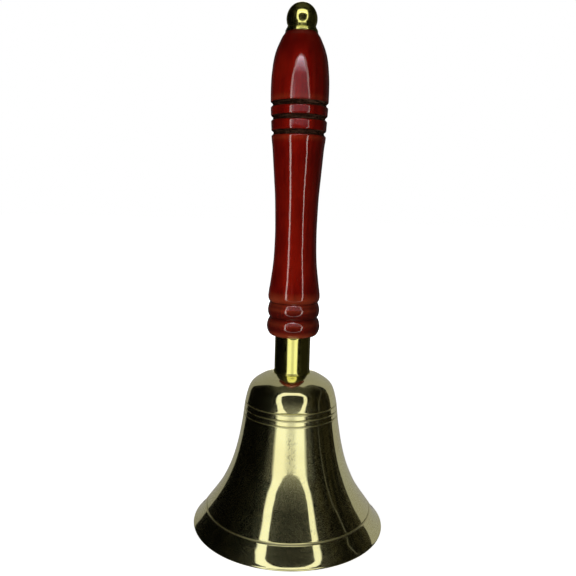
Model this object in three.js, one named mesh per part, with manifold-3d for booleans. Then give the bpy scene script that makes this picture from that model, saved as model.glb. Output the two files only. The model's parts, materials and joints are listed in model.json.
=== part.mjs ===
// Hand bell (school bell): cast brass bell cup, turned and lacquered wooden handle with a
// brass ferrule, a long eye bolt that ties the whole stack together under a domed finial
// nut, and a clapper that hangs from the bolt's eye by a bent wire link.
//
// Frame: millimetres, +Z up, origin on the bell's axis in the plane of its mouth, so the
// bell stands on z = 0. The eye bolt's axis is Z. The bolt's eye and the clapper's eye lie
// in the XZ plane, and the link between them lies in the YZ plane.

import * as THREE from 'three';
import { mergeVertices } from 'three/addons/utils/BufferGeometryUtils.js';
import Module from 'manifold-3d';

const wasm = await Module();
wasm.setup();

// ---------------------------------------------------------------- shared dimensions
const SEAT_Z = 67.1;              // flat on top of the crown, where the ferrule stands
const CROWN_T = 3.0;              // crown thickness at the bolt
const INNER_CROWN_Z = SEAT_Z - CROWN_T;
const SHOULDER_Z = 83.1;          // underside of the wood, where the ferrule butts
const WOOD_TOP_Z = 205.7;
const CAP_WASHER_T = 0.8;
const CAP_Z = WOOD_TOP_Z + CAP_WASHER_T;   // underside of the finial

const HOLE_R = 2.8;               // clearance holes for the bolt
const THREAD_R = 2.55;            // tapped bores, modelled plain

// ---------------------------------------------------------------- helpers
const WELD_TOLERANCE = 1e-4;

// Keep only positions, weld shared corners, and turn the shell outward if it is inside out.
function weld(geometry) {
  const bare = geometry.clone();
  for (const name of Object.keys(bare.attributes)) {
    if (name !== 'position') bare.deleteAttribute(name);
  }
  const welded = mergeVertices(bare, WELD_TOLERANCE);
  const positions = welded.attributes.position;
  const corners = Array.from(welded.index.array);
  const triangles = [];
  let signedVolume = 0;
  const [first, second, third] = [0, 1, 2].map(() => new THREE.Vector3());
  for (let i = 0; i < corners.length; i += 3) {
    const triangle = corners.slice(i, i + 3);
    if (new Set(triangle).size < 3) continue;
    triangles.push(...triangle);
    first.fromBufferAttribute(positions, triangle[0]);
    second.fromBufferAttribute(positions, triangle[1]);
    third.fromBufferAttribute(positions, triangle[2]);
    signedVolume += first.dot(second.cross(third));
  }
  if (signedVolume < 0) {
    for (let i = 0; i < triangles.length; i += 3) {
      [triangles[i], triangles[i + 1]] = [triangles[i + 1], triangles[i]];
    }
  }
  welded.setIndex(triangles);
  return welded;
}

// A turned piece: profile is a list of [radius, z], closed on itself or ending on the axis.
function turned(profile, segments) {
  const points = profile.map(([radius, z]) => new THREE.Vector2(radius, z));
  return weld(new THREE.LatheGeometry(points, segments).rotateX(Math.PI / 2));
}

function flatWasher(outerR, z0, z1) {
  return turned([[HOLE_R, z0], [outerR, z0], [outerR, z1], [HOLE_R, z1], [HOLE_R, z0]], 32);
}

// Profile points along an elliptical arc centred on the axis; angles rise from horizontal.
function arcProfile({ radius, height, centreZ, from, to, steps }) {
  return Array.from({ length: steps + 1 }, (_, i) => {
    const angle = from + (to - from) * i / steps;
    return [radius * Math.cos(angle), centreZ + height * Math.sin(angle)];
  });
}

function toManifold(geometry) {
  const welded = weld(geometry);
  return new wasm.Manifold(new wasm.Mesh({
    numProp: 3,
    vertProperties: new Float32Array(welded.attributes.position.array),
    triVerts: new Uint32Array(welded.index.array),
  }));
}

function toGeometry(manifold) {
  const mesh = manifold.getMesh();
  const geometry = new THREE.BufferGeometry();
  const positions = new Float32Array(mesh.vertProperties);
  geometry.setAttribute('position', new THREE.BufferAttribute(positions, 3));
  geometry.setIndex(Array.from(mesh.triVerts));
  return geometry;
}

// A wire eye in the XZ plane.
function wireEye({ meanR, wireR, z, segments }) {
  const torus = new THREE.TorusGeometry(meanR, wireR, 12, segments);
  return toManifold(torus.rotateX(Math.PI / 2).translate(0, 0, z));
}

function radiusAt(profile, z) {
  for (let i = 1; i < profile.length; i++) {
    const [r0, z0] = profile[i - 1];
    const [r1, z1] = profile[i];
    if (z >= z0 && z <= z1) return r0 + (r1 - r0) * (z - z0) / (z1 - z0);
  }
  throw new Error('height outside the profile');
}

// Cut V grooves into a rising profile: each replaces the points in and just beside its width.
function scribe(profile, { heights, width, depth }) {
  const margin = 0.15;
  let cut = profile;
  for (const z of heights) {
    const low = z - width / 2;
    const high = z + width / 2;
    cut = cut.filter(([, pointZ]) => pointZ < low - margin || pointZ > high + margin).concat([
      [radiusAt(profile, low), low],
      [radiusAt(profile, z) - depth, z],
      [radiusAt(profile, high), high],
    ]);
  }
  return cut.sort((a, b) => a[1] - b[1]);
}

// ---------------------------------------------------------------- bell cup
const MOUTH_R = 41.0;             // outside radius at the mouth
const LIP_CHAMFER = 0.45;
const SEAT_R = 7.95;
const WALL_LIP = 2.5;             // wall thickness at the lip
const WALL_WAIST = 2.1;           // wall thickness from WAIST_Z up
const WAIST_Z = 30;
const OFFSET_WALL_LOW_Z = 0.8;    // the inside follows the outside above this height
const OFFSET_WALL_TOP_Z = 53;     // and up to the outside point below this one
const CUP_GROOVES = {             // one line above the lip, three below the shoulder
  heights: [7.9, 54.3, 51.8, 49.4],
  width: 0.7,
  depth: 0.35,
};

// Outside, from the lip over the shoulder and up the dome to the ferrule's seat: [radius, z].
const CUP_OUTSIDE = [
  [MOUTH_R - LIP_CHAMFER, 0.0], [MOUTH_R, LIP_CHAMFER], [40.5, 1.15], [39.4, 2.45], [38.2, 4.0],
  [36.85, 6.0], [35.35, 8.1], [33.55, 10.6], [31.8, 13.1], [29.8, 16.2],
  [28.2, 19.2], [26.6, 22.7], [25.2, 26.2], [23.9, 30.2], [22.85, 34.2], [21.97, 38.2],
  [21.25, 42.2], [20.6, 46.2], [20.13, 49.89], [19.83, 52.66], [19.59, 54.38], [19.26, 56.05],
  [18.82, 57.90], [18.45, 59.19], [18.13, 60.09], [17.81, 60.82], [17.52, 61.37], [17.24, 61.83],
  [16.96, 62.20], [16.69, 62.52], [16.28, 62.90], [15.72, 63.38], [14.82, 64.04], [13.64, 64.81],
  [12.52, 65.46], [11.69, 65.87], [10.93, 66.18], [9.78, 66.56], [SEAT_R, SEAT_Z],
];
// Inside of the crown, from the wall up to the flat round the bolt: [radius, z].
const CROWN_INSIDE = [
  [17.5, 53.0], [17.1, 55.6], [16.65, 57.7], [15.95, 59.5], [14.9, 61.0],
  [13.4, 62.15], [11.6, 63.05], [9.6, 63.75], [7.1, INNER_CROWN_Z],
];

// Inside of the cup, mouth to crown: the outside pushed inward by the wall thickness.
function cupInside() {
  const offset = [];
  for (let i = 2; CUP_OUTSIDE[i][1] < OFFSET_WALL_TOP_Z; i++) {
    const [r0, z0] = CUP_OUTSIDE[i - 1];
    const [r1, z1] = CUP_OUTSIDE[i + 1];
    const [radius, z] = CUP_OUTSIDE[i];
    const length = Math.hypot(r1 - r0, z1 - z0);
    const wall = THREE.MathUtils.lerp(WALL_LIP, WALL_WAIST, Math.min(1, z / WAIST_Z));
    offset.push([radius - wall * (z1 - z0) / length, z + wall * (r1 - r0) / length]);
  }
  const inside = offset.slice(offset.findIndex(([, z]) => z > OFFSET_WALL_LOW_Z));

  // Carry the inside down to the mouth plane along its lowest slope.
  const [[r0, z0], [r1, z1]] = inside;
  inside.unshift([r0 + (r0 - r1) / (z1 - z0) * z0, 0]);

  // Above the first four points, every second one is enough.
  return [...inside.filter((_, i) => i < 4 || i % 2), ...CROWN_INSIDE];
}

function bellCup() {
  const outside = scribe(CUP_OUTSIDE, CUP_GROOVES);
  return turned([
    ...outside,
    [HOLE_R, SEAT_Z], [HOLE_R, INNER_CROWN_Z],
    ...cupInside().reverse(),
    outside[0],
  ], 44);
}

// ---------------------------------------------------------------- ferrule
const FERRULE_R = 7.5;
const FERRULE_FOOT_R = 7.85;      // narrow lip round its foot
const FERRULE_BORE_R = 6.4;
const FERRULE_FLOOR_Z = SEAT_Z + 1.9;
const FOOT_CHAMFER = 0.15;

function ferrule() {
  return turned([
    [HOLE_R, SEAT_Z],
    [FERRULE_FOOT_R - FOOT_CHAMFER, SEAT_Z], [FERRULE_FOOT_R, SEAT_Z + FOOT_CHAMFER],
    [FERRULE_FOOT_R, SEAT_Z + 0.4], [FERRULE_R, SEAT_Z + 0.7],
    [FERRULE_R, SHOULDER_Z - 0.3], [FERRULE_R - 0.2, SHOULDER_Z],
    [FERRULE_BORE_R, SHOULDER_Z], [FERRULE_BORE_R, FERRULE_FLOOR_Z],
    [HOLE_R, FERRULE_FLOOR_Z], [HOLE_R, SEAT_Z],
  ], 36);
}

// ---------------------------------------------------------------- handle
const TENON_R = 6.3;              // tenon inside the ferrule
const TENON_END_Z = 69.3;
const GRIP_GROOVES = {            // rough V grooves round the upper grip
  heights: [177.65, 172.3, 166.45],
  width: 2.2,
  depth: 0.85,
};

// Outside of the wood from the shoulder on the ferrule up to the top: [radius, z].
const GRIP = [
  [8.3, SHOULDER_Z], [9.5, 83.5], [10.3, 84.3], [10.85, 85.5], [11.15, 87.0], [11.05, 88.3],
  [10.7, 89.6], [10.2, 90.6], [9.9, 91.0], [10.2, 91.45], [10.6, 92.3], [10.85, 93.7],
  [10.8, 94.9], [10.5, 96.1], [10.2, 97.0], [9.95, 97.4], [10.25, 97.9], [10.7, 98.9],
  [10.85, 100.1], [10.6, 102.3], [10.2, 104.8], [9.75, 108.2], [9.2, 112.6], [8.85, 117.6],
  [8.65, 125.0], [8.72, 131.5], [9.05, 141.3], [9.55, 147.8], [10.05, 154.3], [10.55, 160.7],
  [11.0, 164.4], [11.2, 168.4], [11.5, 174.0], [11.75, 179.7], [11.78, 184.0], [11.66, 188.0],
  [11.35, 191.5], [10.85, 195.2], [10.2, 197.9], [9.35, 200.3], [8.5, 202.2], [7.7, 203.9],
  [6.95, 205.0], [6.6, WOOD_TOP_Z],
];

function handle() {
  return turned([
    [HOLE_R, TENON_END_Z], [TENON_R - 0.4, TENON_END_Z], [TENON_R, TENON_END_Z + 0.6],
    [TENON_R, SHOULDER_Z], ...scribe(GRIP, GRIP_GROOVES),
    [HOLE_R, WOOD_TOP_Z], [HOLE_R, TENON_END_Z],
  ], 36);
}

// ---------------------------------------------------------------- finial
const CAP_WASHER_R = 6.55;
const FINIAL_BALL_R = 6.2;
const FINIAL_TOP_Z = 217.5;
const DOME_Z = 211.0;             // widest height, where the dome starts

// Domed nut: conical end of the blind bore, bore, base, waist, then dome.
function finial() {
  return turned([
    [0, 214.2], [THREAD_R, 213.6], [THREAD_R, CAP_Z],
    [6.35, CAP_Z], [6.3, 206.95], [6.05, 207.25], [5.62, 208.38], [5.8, 208.81],
    [5.95, 209.26], [6.08, 209.79], [6.16, 210.3],
    ...arcProfile({
      radius: FINIAL_BALL_R, height: FINIAL_TOP_Z - DOME_Z, centreZ: DOME_Z,
      from: 0, to: Math.PI / 2, steps: 8,
    }),
  ], 28);
}

// ---------------------------------------------------------------- fixings under the crown
const WASHER_R = 6.5;
const WASHER_T = 1.0;
const SPRING_R = 4.6;             // lock washer
const SPRING_T = 1.2;
const SPRING_GAP = 1.0;           // width of its slot
const SPRING_SKEW = 0.16;         // slot turned this far (radians) each way, outside and inside
const NUT_ACROSS_FLATS = 8.0;
const NUT_H = 3.2;
const NUT_TURN_R = 4.75;          // full radius that rounds the nut's corners
const NUT_FACE_R = 4.05;          // radius of the chamfered faces
const NUT_CHAMFER_H = 0.45;
const NUT_OVERCUT = 0.01;         // keeps the turned shape's faces clear of the blank's

const WASHER_Z = INNER_CROWN_Z - WASHER_T;
const SPRING_Z = WASHER_Z - SPRING_T;
const NUT_Z = SPRING_Z - NUT_H;
const NUT_TOP_Z = NUT_Z + NUT_H;

// Split ring with a slanted slot on its +X side.
function lockWasher() {
  const fullTurn = 2 * Math.PI;
  const outerHalf = SPRING_GAP / 2 / SPRING_R;
  const innerHalf = SPRING_GAP / 2 / HOLE_R;
  const innerStart = -innerHalf - SPRING_SKEW;
  const shape = new THREE.Shape();
  shape.absarc(
    0, 0, SPRING_R, outerHalf + SPRING_SKEW, fullTurn - outerHalf + SPRING_SKEW, false,
  );
  shape.lineTo(HOLE_R * Math.cos(innerStart), HOLE_R * Math.sin(innerStart));
  shape.absarc(
    0, 0, HOLE_R, fullTurn - innerHalf - SPRING_SKEW, innerHalf - SPRING_SKEW, true,
  );
  shape.closePath();
  return weld(new THREE.ExtrudeGeometry(shape, {
    depth: SPRING_T, bevelEnabled: false, curveSegments: 32,
  }).translate(0, 0, SPRING_Z));
}

// Hexagonal blank cut to a bored and chamfered round.
function crownNut() {
  const cornerR = NUT_ACROSS_FLATS / 2 / Math.cos(Math.PI / 6);
  const hexagon = new THREE.Shape(Array.from({ length: 6 }, (_, i) => {
    const angle = i * Math.PI / 3 + Math.PI / 6;
    return new THREE.Vector2(cornerR * Math.cos(angle), cornerR * Math.sin(angle));
  }));
  hexagon.closePath();
  const blank = new THREE.ExtrudeGeometry(hexagon, { depth: NUT_H, bevelEnabled: false });
  const bottom = NUT_Z - NUT_OVERCUT;
  const top = NUT_TOP_Z + NUT_OVERCUT;
  const round = turned([
    [THREAD_R, bottom], [NUT_FACE_R, bottom],
    [NUT_TURN_R, NUT_Z + NUT_CHAMFER_H], [NUT_TURN_R, NUT_TOP_Z - NUT_CHAMFER_H],
    [NUT_FACE_R, top], [THREAD_R, top], [THREAD_R, bottom],
  ], 36);
  return toGeometry(toManifold(blank.translate(0, 0, NUT_Z)).intersect(toManifold(round)));
}

// ---------------------------------------------------------------- eye bolt
const ROD_R = 2.5;                // M5
const ROD_TOP_Z = 213.1;
const ROD_CHAMFER = 0.5;
const EYE_WIRE_R = 1.2;
const EYE_MEAN_R = 3.4;
const EYE_Z = 54.5;

// A straight rod from the finial down to just under the nut, its lower end an eye.
function tieRod() {
  const eyeTopZ = EYE_Z + EYE_MEAN_R;
  const rod = toManifold(turned([
    [0, eyeTopZ - 0.6], [1.5, eyeTopZ - 0.6], [ROD_R, eyeTopZ + 0.9],
    [ROD_R, ROD_TOP_Z - ROD_CHAMFER], [ROD_R - ROD_CHAMFER, ROD_TOP_Z], [0, ROD_TOP_Z],
  ], 24));
  const eye = wireEye({ meanR: EYE_MEAN_R, wireR: EYE_WIRE_R, z: EYE_Z, segments: 28 });
  return toGeometry(rod.add(eye));
}

// ---------------------------------------------------------------- link
const HANG_GAP = 0.08;            // slack where one loop hangs in the next
const LINK_WIRE_R = 1.0;
const LINK_INNER_R = 1.7;
const LINK_MEAN_R = LINK_INNER_R + LINK_WIRE_R;
const LINK_STRAIGHT = 3.4;
const LINK_END_GAP = 0.3;         // between the butted wire ends
// Centres of the top and bottom bends.
const LINK_TOP_Z = EYE_Z - EYE_MEAN_R + EYE_WIRE_R + HANG_GAP - LINK_INNER_R;
const LINK_BOTTOM_Z = LINK_TOP_Z - LINK_STRAIGHT;

// Long loop in the YZ plane, its ends butted halfway up the +Y side.
class LinkPath extends THREE.Curve {
  getPoint(t, target = new THREE.Vector3()) {
    const radius = LINK_MEAN_R;
    const bend = Math.PI * radius;
    const total = 2 * LINK_STRAIGHT + 2 * bend - LINK_END_GAP;

    // Distance along the wire's centreline from mid height on the +Y side, going up.
    let along = LINK_END_GAP / 2 + t * total;
    if (along < LINK_STRAIGHT / 2) {
      return target.set(0, radius, LINK_TOP_Z - LINK_STRAIGHT / 2 + along);
    }
    along -= LINK_STRAIGHT / 2;
    if (along < bend) {
      const angle = along / radius;
      return target.set(0, radius * Math.cos(angle), LINK_TOP_Z + radius * Math.sin(angle));
    }
    along -= bend;
    if (along < LINK_STRAIGHT) return target.set(0, -radius, LINK_TOP_Z - along);
    along -= LINK_STRAIGHT;
    if (along < bend) {
      const angle = along / radius;
      return target.set(0, -radius * Math.cos(angle), LINK_BOTTOM_Z - radius * Math.sin(angle));
    }
    return target.set(0, radius, LINK_BOTTOM_Z + along - bend);
  }
}

function clapperLink() {
  const wire = new THREE.Shape();
  wire.absarc(0, 0, LINK_WIRE_R, 0, 2 * Math.PI, false);
  return weld(new THREE.ExtrudeGeometry(wire, {
    extrudePath: new LinkPath(), steps: 34, curveSegments: 5, bevelEnabled: false,
  }));
}

// ---------------------------------------------------------------- clapper
const CLAP_WIRE_R = 1.2;          // eye of the clapper
const CLAP_MEAN_R = 3.0;
const CLAP_EYE_Z =
  LINK_BOTTOM_Z - LINK_MEAN_R + LINK_WIRE_R + CLAP_WIRE_R + HANG_GAP - CLAP_MEAN_R;
const SHANK_R = 1.9;
const SPIGOT_R = 1.6;             // shank inside the ball
const COLLAR_R = 2.3;             // shoulder above the ball and rivet head below it
const BALL_R = 8.0;
const BALL_Z = 11.0;
const BALL_FLAT = 7.6;            // height of each flat from the ball's centre
const BALL_BOTTOM_Z = BALL_Z - BALL_FLAT;
const BALL_TOP_Z = BALL_Z + BALL_FLAT;
const BALL_END_PLAY = 0.05;
const BALL_BORE_R = SPIGOT_R + 0.06;

// Shank with an eye at the top; the ball sits against a shoulder and the end is riveted over.
function clapperShank() {
  const eyeLowZ = CLAP_EYE_Z - CLAP_MEAN_R;
  const rivetZ = BALL_BOTTOM_Z - BALL_END_PLAY;
  const shoulderZ = BALL_TOP_Z + BALL_END_PLAY;
  const shank = toManifold(turned([
    [0, BALL_BOTTOM_Z - 1.05], [1.5, BALL_BOTTOM_Z - 0.95], [COLLAR_R, BALL_BOTTOM_Z - 0.35],
    [COLLAR_R, rivetZ], [SPIGOT_R, rivetZ], [SPIGOT_R, shoulderZ], [COLLAR_R, shoulderZ],
    [COLLAR_R, BALL_TOP_Z + 0.9], [SHANK_R, BALL_TOP_Z + 1.6],
    [SHANK_R, eyeLowZ - 2.2], [1.35, eyeLowZ + 0.3], [0, eyeLowZ + 0.3],
  ], 20));
  const eye = wireEye({ meanR: CLAP_MEAN_R, wireR: CLAP_WIRE_R, z: CLAP_EYE_Z, segments: 26 });
  return toGeometry(shank.add(eye));
}

function clapperBall() {
  const flatAngle = Math.asin(BALL_FLAT / BALL_R);
  return turned([
    [BALL_BORE_R, BALL_BOTTOM_Z],
    ...arcProfile({
      radius: BALL_R, height: BALL_R, centreZ: BALL_Z,
      from: -flatAngle, to: flatAngle, steps: 12,
    }),
    [BALL_BORE_R, BALL_TOP_Z], [BALL_BORE_R, BALL_BOTTOM_Z],
  ], 26);
}

// ---------------------------------------------------------------- materials
const material = (settings) => new THREE.MeshStandardMaterial(settings);
const castBrass = () => material({ color: 0xcdb878, roughness: 0.22, metalness: 1 });
const turnedBrass = () => material({ color: 0xc9b24e, roughness: 0.14, metalness: 1 });
const zincSteel = () => material({ color: 0xaeb0b2, roughness: 0.35, metalness: 1 });
const darkIron = () => material({ color: 0x6a6762, roughness: 0.45, metalness: 1 });
const redWood = () => material({ color: 0x6e1410, roughness: 0.28, metalness: 0 });

// ---------------------------------------------------------------- assembly
const part = new THREE.Group();
part.name = 'hand_bell';

// Each piece is [name, geometry, material].
function addGroup(pieces) {
  const group = new THREE.Group();
  for (const [name, geometry, finish] of pieces) {
    const mesh = new THREE.Mesh(geometry, finish);
    mesh.name = name;
    group.add(mesh);
  }
  part.add(group);
}

// Bell, its fixings and the eye bolt.
addGroup([
  ['bell_cup', bellCup(), castBrass()],
  ['inner_washer', flatWasher(WASHER_R, WASHER_Z, INNER_CROWN_Z), zincSteel()],
  ['lock_washer', lockWasher(), zincSteel()],
  ['crown_nut', crownNut(), zincSteel()],
  ['tie_rod', tieRod(), zincSteel()],
]);
// Grip.
addGroup([
  ['ferrule', ferrule(), turnedBrass()],
  ['handle', handle(), redWood()],
  ['finial_washer', flatWasher(CAP_WASHER_R, WOOD_TOP_Z, CAP_Z), turnedBrass()],
  ['finial', finial(), turnedBrass()],
]);
// Clapper.
addGroup([
  ['clapper_link', clapperLink(), darkIron()],
  ['clapper_shank', clapperShank(), darkIron()],
  ['clapper_ball', clapperBall(), darkIron()],
]);

export default part;
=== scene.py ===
# Brass hand bell standing mouth down on the floor, its axis on +Z and its front towards -Y.
# A red wooden handle with a brass ferrule and finial stands on the cup; an eye bolt through
# both carries a wire link and a clapper inside. Shapes are in mm, Blender data in metres.
import json
import math

import bpy
import numpy as np
from mathutils import Matrix, Vector, noise


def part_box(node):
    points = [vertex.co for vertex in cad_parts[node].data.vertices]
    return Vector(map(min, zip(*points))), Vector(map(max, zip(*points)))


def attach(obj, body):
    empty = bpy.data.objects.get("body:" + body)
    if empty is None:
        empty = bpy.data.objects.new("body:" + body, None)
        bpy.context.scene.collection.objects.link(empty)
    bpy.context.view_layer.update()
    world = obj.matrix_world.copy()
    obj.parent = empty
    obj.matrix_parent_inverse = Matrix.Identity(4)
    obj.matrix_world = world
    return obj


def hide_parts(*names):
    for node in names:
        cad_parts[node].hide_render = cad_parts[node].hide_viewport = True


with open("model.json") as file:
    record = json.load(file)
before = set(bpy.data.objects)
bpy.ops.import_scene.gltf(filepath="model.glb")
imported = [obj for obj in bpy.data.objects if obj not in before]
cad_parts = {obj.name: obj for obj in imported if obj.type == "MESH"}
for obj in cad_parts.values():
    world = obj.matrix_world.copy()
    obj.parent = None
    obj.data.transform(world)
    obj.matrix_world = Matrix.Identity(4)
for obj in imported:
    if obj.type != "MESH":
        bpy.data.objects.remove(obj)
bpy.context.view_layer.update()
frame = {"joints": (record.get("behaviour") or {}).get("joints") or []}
MM = 0.001
TAU = 2 * math.pi


def box_mm(node):
    lo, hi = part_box(node)
    return [v * 1000 for v in lo], [v * 1000 for v in hi]


def heights(node):
    lo, hi = box_mm(node)
    return lo[2], hi[2]


# ------------------------------------------------------------------ sizes from the frame (mm)

SEAT_Z = heights("bell_cup")[1]
MOUTH_R = box_mm("bell_cup")[1][0]
FERRULE_Z0, SHOULDER_Z = heights("ferrule")
TENON_Z, WOOD_TOP = heights("handle")
CAP_Z, FINIAL_TOP = heights("finial")
WASHER_Z0, WASHER_Z1 = heights("inner_washer")
SPRING_Z0, SPRING_Z1 = heights("lock_washer")
NUT_Z0, NUT_Z1 = heights("crown_nut")
ROD_Z1 = heights("tie_rod")[1]
LINK_Z1 = heights("clapper_link")[1]
BALL_Z0, BALL_Z1 = heights("clapper_ball")
BALL_R = (box_mm("clapper_ball")[1][1] - box_mm("clapper_ball")[0][1]) / 2
JOINTS = {joint["name"]: joint for joint in frame["joints"]}
LINK_PIVOT_Z = JOINTS["link_swing"]["pos_m"][2] * 1000
CLAPPER_PIVOT_Z = JOINTS["clapper_swing"]["pos_m"][2] * 1000

ROD_R = 2.5
HOLE_R = 2.8            # clearance hole for the rod, through every piece it holds
WIRE_SEGS = 28

# ------------------------------------------------------------------ mesh helpers


def catmull(points, step, sharp=()):
    """Smooth curve through [r, z] points, sampled about every step mm.

    The points whose indices are in sharp stay corners.
    """
    def between(t, t_a, t_b, a, b):
        return (t_b - t) / (t_b - t_a) * a + (t - t_a) / (t_b - t_a) * b

    pts = [np.array(p, float) for p in points]
    out = []
    for i in range(len(pts) - 1):
        p1, p2 = pts[i], pts[i + 1]
        p0 = pts[i - 1] if i > 0 and i not in sharp else p1 + (p1 - p2)
        p3 = pts[i + 2] if i + 2 < len(pts) and (i + 1) not in sharp else p2 + (p2 - p1)
        length = np.linalg.norm(p2 - p1)
        count = max(1, int(math.ceil(length / step)))
        # centripetal parameters keep tight bends free of overshoot
        t0 = 0.0
        t1 = t0 + max(np.linalg.norm(p1 - p0), 1e-9) ** 0.5
        t2 = t1 + max(length, 1e-9) ** 0.5
        t3 = t2 + max(np.linalg.norm(p3 - p2), 1e-9) ** 0.5
        for k in range(count):
            t = t1 + (t2 - t1) * k / count
            a1 = between(t, t0, t1, p0, p1)
            a2 = between(t, t1, t2, p1, p2)
            a3 = between(t, t2, t3, p2, p3)
            b1 = between(t, t0, t2, a1, a2)
            b2 = between(t, t1, t3, a2, a3)
            out.append(between(t, t1, t2, b1, b2))
    out.append(pts[-1])
    return [(float(p[0]), float(p[1])) for p in out]


def polar(r, z, angle):
    return r * math.cos(angle) * MM, r * math.sin(angle) * MM, z * MM


def bridge(rings, per_ring, closed=False):
    """Quads between neighbouring rings of vertices; closed also joins the last to the first."""
    faces = []
    for i in range(rings if closed else rings - 1):
        near, far = i * per_ring, (i + 1) % rings * per_ring
        for k in range(per_ring):
            after = (k + 1) % per_ring
            faces.append((near + k, near + after, far + after, far + k))
    return faces


def outward(verts, faces):
    """The closed shell (verts, faces), with every face flipped if it is inside out."""
    v = np.array(verts)
    volume = 0.0
    for face in faces:
        a = v[face[0]]
        for i in range(1, len(face) - 1):
            volume += a.dot(np.cross(v[face[i]], v[face[i + 1]]))
    return verts, faces if volume > 0 else [tuple(reversed(face)) for face in faces]


def turned_rings(profile, segs, warp):
    verts = []
    for i, (r, z) in enumerate(profile):
        for k in range(segs):
            angle = TAU * k / segs
            verts.append(polar(*(warp(r, z, angle, i) if warp else (r, z)), angle))
    return verts


def revolve(profile, segs, warp=None):
    """Closed loop [(r, z)] turned about Z; warp(r, z, angle, ring) -> (r, z) if given."""
    return outward(turned_rings(profile, segs, warp), bridge(len(profile), segs, closed=True))


def revolve_open(profile, segs, warp=None):
    """Profile that starts and ends on the axis: its poles are single vertices."""
    rings = len(profile) - 2
    verts = turned_rings(profile[1:-1], segs, warp)
    faces = bridge(rings, segs)
    start, end = len(verts), len(verts) + 1
    verts += [(0, 0, profile[0][1] * MM), (0, 0, profile[-1][1] * MM)]
    last = (rings - 1) * segs
    for k in range(segs):
        after = (k + 1) % segs
        faces.append((start, after, k))
        faces.append((end, last + k, last + after))
    return outward(verts, faces)


def sweep(path, radii, segs=WIRE_SEGS, normal=Vector((0, 1, 0))):
    """Round wire along a path in the plane square to normal, with flat ends."""
    pts = [Vector(p) for p in path]
    count = len(pts)
    verts = []
    for i in range(count):
        along = (pts[min(i + 1, count - 1)] - pts[max(i - 1, 0)]).normalized()
        side = normal.cross(along).normalized()
        for k in range(segs):
            angle = TAU * k / segs
            offset = side * math.cos(angle) + normal * math.sin(angle)
            verts.append(tuple((pts[i] + offset * radii[i]) * MM))
    faces = bridge(count, segs)
    for end in (0, count - 1):
        centre = len(verts)
        verts.append(tuple(pts[end] * MM))
        for k in range(segs):
            face = (centre, end * segs + k, end * segs + (k + 1) % segs)
            faces.append(face if end else tuple(reversed(face)))
    return outward(verts, faces)


def joined(first, second):
    """Two shells as one mesh."""
    offset = len(first[0])
    moved = [tuple(i + offset for i in face) for face in second[1]]
    return first[0] + second[0], first[1] + moved


def make_piece(name, shell, node, finish, smooth_angle, body="root"):
    """Object from a shell (verts, faces); finish picks its material from MAT."""
    mesh = bpy.data.meshes.new(name)
    mesh.from_pydata(shell[0], [], shell[1])
    mesh.validate()
    mesh.update()
    ob = bpy.data.objects.new(name, mesh)
    bpy.context.scene.collection.objects.link(ob)
    for polygon in mesh.polygons:
        polygon.use_smooth = True
    mesh.set_sharp_from_angle(angle=math.radians(smooth_angle))
    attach(ob, body)
    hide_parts(node)
    mesh.materials.append(MAT[finish])
    return ob


def fbm(x, y, z, octaves=3):
    total, amount, scale = 0.0, 0.5, 1.0
    for _ in range(octaves):
        total += amount * noise.noise(Vector((x * scale, y * scale, z * scale)))
        amount *= 0.5
        scale *= 2.1
    return total


def set_attr(ob, name, values):
    attribute = ob.data.attributes.new(name, "FLOAT", "POINT")
    attribute.data.foreach_set("value", np.asarray(values, np.float32))


# ------------------------------------------------------------------ shader helpers


class Graph:
    """Short ways to add nodes to a shader tree."""

    def __init__(self, tree):
        self.tree = tree

    def put(self, socket, value):
        if isinstance(value, bpy.types.NodeSocket):
            self.tree.links.new(value, socket)
        else:
            socket.default_value = value

    def node(self, kind, inputs=None, **props):
        """New node; inputs maps socket index or name to a value or an output socket."""
        node = self.tree.nodes.new("ShaderNode" + kind)
        for key, value in props.items():
            setattr(node, key, value)
        for key, value in (inputs or {}).items():
            self.put(node.inputs[key], value)
        return node

    def split(self, vector):
        return tuple(self.node("SeparateXYZ", {0: vector}).outputs)


def new_graph(owner):
    owner.use_nodes = True
    owner.node_tree.nodes.clear()
    return Graph(owner.node_tree)


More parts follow.
